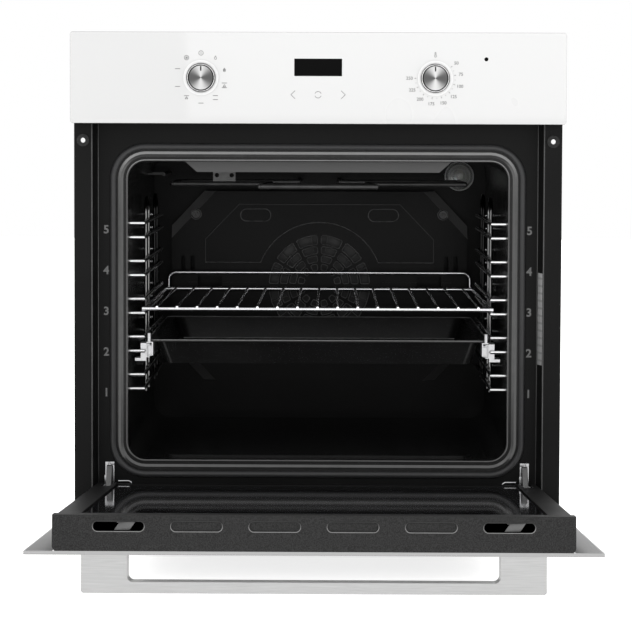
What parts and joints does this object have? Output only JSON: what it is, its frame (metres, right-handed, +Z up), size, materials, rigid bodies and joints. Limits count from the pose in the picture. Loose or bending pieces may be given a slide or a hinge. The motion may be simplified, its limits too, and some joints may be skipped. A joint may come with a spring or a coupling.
{
  "type": "wall oven",
  "caption": "Built-in wall oven with a drop-down glazed door, glass control panel, wire shelf, tray on telescopic runners and fan cooking",
  "frame": {"origin": "centre of the underside of the base panel, midway between the front frame's cabinet flange and the back", "axes": "+Z up, front faces -Y, +X to the user's right"},
  "size_m": [0.595, 0.9993, 0.595],
  "materials": {
    "black_frame_paint": "satin",
    "black_trim": "fine texture",
    "dark_enamel": "enamel, gloss",
    "black_enamel": "enamel, gloss",
    "seal_rubber": "matt",
    "galvanised_steel": "galvanised",
    "mineral_wool": "matt",
    "white_glass": "back-painted glass",
    "display_black": "gloss",
    "lamp_red": "gloss",
    "white_plastic": "gloss",
    "switch_plastic": "matt",
    "steel": "turned",
    "knob_metal": "spun brushed face, chrome skirt",
    "dark_steel": "satin",
    "heater_sheath": "heat-darkened",
    "zinc": "zinc-plated",
    "ceramic": "ceramic",
    "clear_glass": "clear",
    "lamp_white": "frosted",
    "chrome_wire": "bright chrome",
    "aluminised_steel": "aluminised",
    "black_plastic": "matt",
    "dark_glass": "heat-reflecting glass",
    "handle_steel": "brushed"
  },
  "bodies": {
    "carcass": {"front_frame": "black_frame_paint", "fixing_bushes": "black_trim", "cavity_wrap": "dark_enamel", "cavity_back": "dark_enamel", "door_gasket": "seal_rubber", "side_panel_left": "galvanised_steel", "side_panel_right": "galvanised_steel", "top_panel": "galvanised_steel", "base_panel": "galvanised_steel", "rear_panel": "galvanised_steel", "insulation": "mineral_wool", "control_panel_glass": "white_glass", "control_panel_frame": "black_frame_paint", "display_module": "display_black", "indicator_lamp": "lamp_red", "knob_bezels": "white_plastic", "function_selector": "switch_plastic", "thermostat": "switch_plastic", "thermostat_probe": "steel", "fan_cover": "black_enamel", "fan_cover_screws": "galvanised_steel", "fan_motor": "dark_steel", "ring_heater": "heater_sheath", "grill_element": "heater_sheath", "grill_bracket": "zinc", "bottom_heater": "heater_sheath", "lamp_housing": "ceramic", "lamp_glass": "clear_glass", "lamp_bulb": "lamp_white", "side_rack_left": "chrome_wire", "side_rack_right": "chrome_wire", "runner_fixed_rails": "zinc", "runner_clips": "zinc", "cooling_fan_housing": "galvanised_steel", "cooling_fan_motor": "dark_steel", "air_duct": "galvanised_steel", "terminal_box": "black_plastic", "hinge_arms": "zinc", "hinge_receptacles": "galvanised_steel"},
    "function_spindle_body": {"function_spindle": "steel"},
    "function_knob_body": {"function_knob": "knob_metal"},
    "temperature_spindle_body": {"temperature_spindle": "steel"},
    "temperature_knob_body": {"temperature_knob": "knob_metal"},
    "convection_fan_body": {"convection_fan": "aluminised_steel"},
    "cooling_fan_body": {"cooling_fan_wheel": "white_plastic"},
    "shelf": {"wire_shelf": "chrome_wire", "shelf_guard": "chrome_wire"},
    "runner_middle_body": {"runner_middles": "zinc"},
    "tray_carriage": {"runner_slides": "zinc", "baking_tray": "dark_enamel"},
    "door": {"door_outer_glass": "white_glass", "door_middle_glass": "dark_glass", "door_inner_glass": "dark_glass", "door_side_rails": "black_frame_paint", "door_top_trim": "black_trim", "door_bottom_rail": "black_frame_paint", "door_handle": "handle_steel", "handle_screws": "steel", "hinge_bodies": "galvanised_steel", "hinge_springs": "dark_steel"}
  },
  "joints": [
    {"name": "door_hinge", "type": "hinge", "parent": "carcass", "child": "door", "pos_m": [0, -0.2742, 0.0297], "axis": [1, 0, 0], "range_deg": [-85.5, 0]},
    {"name": "function_turn", "type": "hinge", "parent": "carcass", "child": "function_spindle_body", "pos_m": [-0.1405, -0.2945, 0.5405], "axis": [0, 1, 0], "continuous": true},
    {"name": "function_knob_pop", "type": "slide", "parent": "function_spindle_body", "child": "function_knob_body", "axis": [0, -1, 0], "range_m": [0, 0.012]},
    {"name": "temperature_turn", "type": "hinge", "parent": "carcass", "child": "temperature_spindle_body", "pos_m": [0.1405, -0.2945, 0.5405], "axis": [0, 1, 0], "range_deg": [0, 270]},
    {"name": "temperature_knob_pop", "type": "slide", "parent": "temperature_spindle_body", "child": "temperature_knob_body", "axis": [0, -1, 0], "range_m": [0, 0.012]},
    {"name": "convection_fan_spin", "type": "hinge", "parent": "carcass", "child": "convection_fan_body", "pos_m": [0, 0.1625, 0.262], "axis": [0, 1, 0], "continuous": true},
    {"name": "cooling_fan_spin", "type": "hinge", "parent": "carcass", "child": "cooling_fan_body", "pos_m": [0, 0.06, 0.519], "axis": [0, 0, 1], "continuous": true},
    {"name": "shelf_slide", "type": "slide", "parent": "carcass", "child": "shelf", "axis": [0, -1, 0], "range_m": [0, 0.24]},
    {"name": "tray_slide", "type": "slide", "parent": "carcass", "child": "tray_carriage", "axis": [0, -1, 0], "range_m": [0, 0.3]},
    {"name": "runner_middle_slide", "type": "slide", "parent": "carcass", "child": "runner_middle_body", "axis": [0, -1, 0], "range_m": [0, 0.15]}
  ],
  "couplings": [
    {"joint": "runner_middle_slide", "follows": "tray_slide", "ratio": 0.5}
  ]
}
